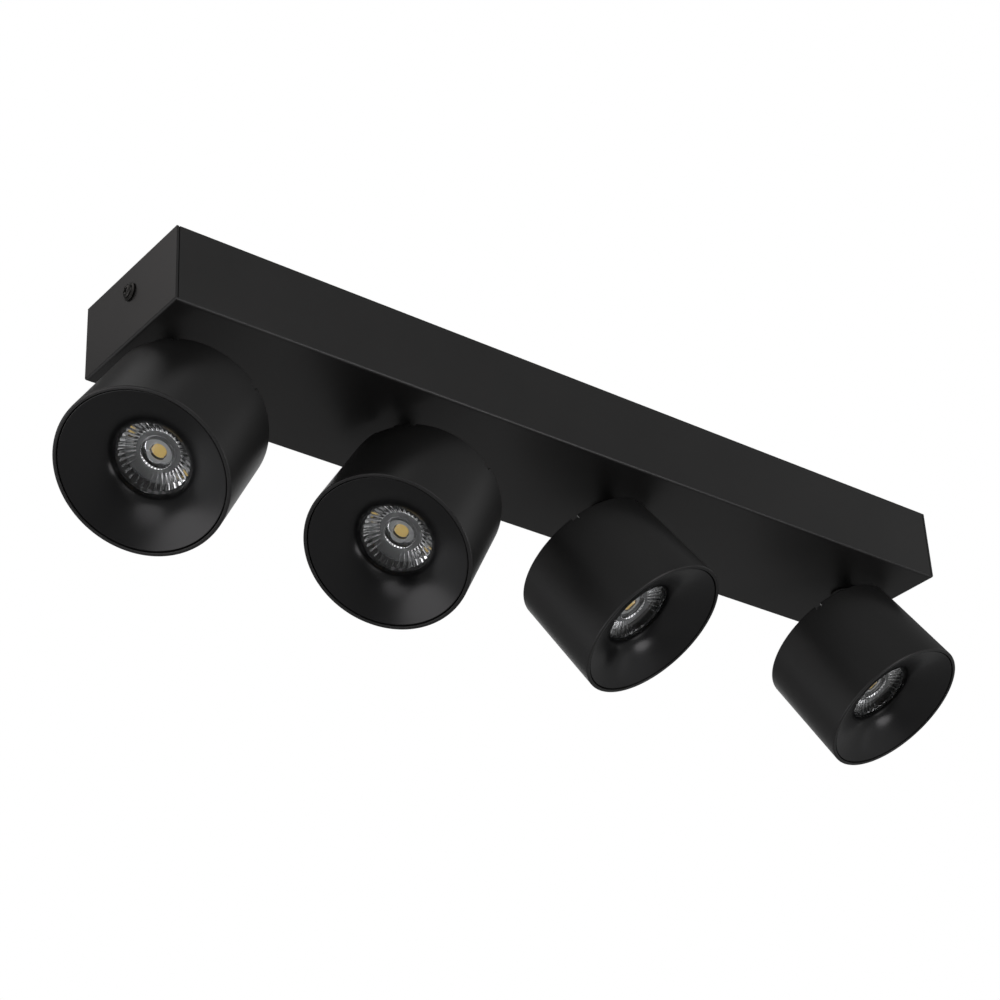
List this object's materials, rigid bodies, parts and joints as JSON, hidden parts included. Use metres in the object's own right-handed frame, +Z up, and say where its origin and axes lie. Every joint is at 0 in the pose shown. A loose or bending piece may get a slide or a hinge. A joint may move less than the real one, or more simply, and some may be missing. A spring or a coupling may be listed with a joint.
{
  "type": "ceiling spotlight bar",
  "caption": "Ceiling spot bar: a long folded black canopy with adjustable cylindrical LED heads that pan and tilt under it, each with a bell-mouth baffle and a clear lens.",
  "frame": {"origin": "centre of the face that lies on the ceiling", "axes": "+X along the canopy, +Z up into the ceiling; the light goes down"},
  "size_m": [0.5318, 0.0971, 0.1362],
  "materials": {
    "canopy_powder_coat": "fine satin black powder coat on folded sheet steel",
    "head_powder_coat": "satin black powder coat",
    "baffle_black": "satin black moulded reflector",
    "clear_lens": "clear moulded optic with fine radial ribs round its edge",
    "led_board": "white board with a yellow light-emitting disc",
    "aluminium_heat_sink": "die-cast aluminium, satin",
    "zinc_plated_steel": "zinc-plated steel, satin",
    "black_screw": "black-coated steel screw, semi-gloss",
    "driver_plastic": "white moulded housing, matt",
    "black_plastic": "black moulded plastic, matt",
    "grommet_rubber": "black rubber, matt"
  },
  "bodies": {
    "canopy": {"canopy_cover": "canopy_powder_coat", "mounting_plate": "zinc_plated_steel", "end_screw_left": "black_screw", "end_screw_right": "black_screw", "driver_left": "driver_plastic", "driver_right": "driver_plastic", "terminal_block": "driver_plastic", "cable_grommet": "grommet_rubber", "cable_clamp": "black_plastic", "earth_screw": "zinc_plated_steel"},
    "swivel_1": {"swivel_arm_1": "head_powder_coat", "friction_washer_1": "zinc_plated_steel", "stem_nut_1": "zinc_plated_steel"},
    "head_1": {"tilt_pin_1": "zinc_plated_steel", "pivot_bracket_1": "zinc_plated_steel", "heat_sink_1": "aluminium_heat_sink", "led_board_1": "led_board", "lens_1": "clear_lens", "lens_holder_1": "black_plastic", "baffle_1": "baffle_black", "shell_1": "head_powder_coat", "rear_cap_1": "head_powder_coat"},
    "swivel_2": {"swivel_arm_2": "head_powder_coat", "friction_washer_2": "zinc_plated_steel", "stem_nut_2": "zinc_plated_steel"},
    "head_2": {"tilt_pin_2": "zinc_plated_steel", "pivot_bracket_2": "zinc_plated_steel", "heat_sink_2": "aluminium_heat_sink", "led_board_2": "led_board", "lens_2": "clear_lens", "lens_holder_2": "black_plastic", "baffle_2": "baffle_black", "shell_2": "head_powder_coat", "rear_cap_2": "head_powder_coat"},
    "swivel_3": {"swivel_arm_3": "head_powder_coat", "friction_washer_3": "zinc_plated_steel", "stem_nut_3": "zinc_plated_steel"},
    "head_3": {"tilt_pin_3": "zinc_plated_steel", "pivot_bracket_3": "zinc_plated_steel", "heat_sink_3": "aluminium_heat_sink", "led_board_3": "led_board", "lens_3": "clear_lens", "lens_holder_3": "black_plastic", "baffle_3": "baffle_black", "shell_3": "head_powder_coat", "rear_cap_3": "head_powder_coat"},
    "swivel_4": {"swivel_arm_4": "head_powder_coat", "friction_washer_4": "zinc_plated_steel", "stem_nut_4": "zinc_plated_steel"},
    "head_4": {"tilt_pin_4": "zinc_plated_steel", "pivot_bracket_4": "zinc_plated_steel", "heat_sink_4": "aluminium_heat_sink", "led_board_4": "led_board", "lens_4": "clear_lens", "lens_holder_4": "black_plastic", "baffle_4": "baffle_black", "shell_4": "head_powder_coat", "rear_cap_4": "head_powder_coat"}
  },
  "joints": [
    {"name": "pan_1", "type": "hinge", "parent": "canopy", "child": "swivel_1", "pos_m": [-0.218, 0, -0.04], "axis": [0, 0, 1], "range_deg": [-109.5, 240.5]},
    {"name": "tilt_1", "type": "hinge", "parent": "swivel_1", "child": "head_1", "pos_m": [-0.218, 0, -0.08426], "axis": [-0.4147, 0.91, 0], "range_deg": [-36.5, 8.5]},
    {"name": "pan_2", "type": "hinge", "parent": "canopy", "child": "swivel_2", "pos_m": [-0.08599, 0, -0.04], "axis": [0, 0, 1], "range_deg": [-106, 244]},
    {"name": "tilt_2", "type": "hinge", "parent": "swivel_2", "child": "head_2", "pos_m": [-0.08599, 0, -0.08426], "axis": [-0.3584, 0.9336, 0], "range_deg": [-36.5, 8.5]},
    {"name": "pan_3", "type": "hinge", "parent": "canopy", "child": "swivel_3", "pos_m": [0.04, 0, -0.04], "axis": [0, 0, 1], "range_deg": [-211, 139]},
    {"name": "tilt_3", "type": "hinge", "parent": "swivel_3", "child": "head_3", "pos_m": [0.04, 0, -0.08426], "axis": [-0.809, -0.5878, 0], "range_deg": [-34, 11]},
    {"name": "pan_4", "type": "hinge", "parent": "canopy", "child": "swivel_4", "pos_m": [0.212, 0, -0.04], "axis": [0, 0, 1], "range_deg": [-205, 145]},
    {"name": "tilt_4", "type": "hinge", "parent": "swivel_4", "child": "head_4", "pos_m": [0.212, 0, -0.08426], "axis": [-0.866, -0.5, 0], "range_deg": [-32.5, 12.5]}
  ]
}
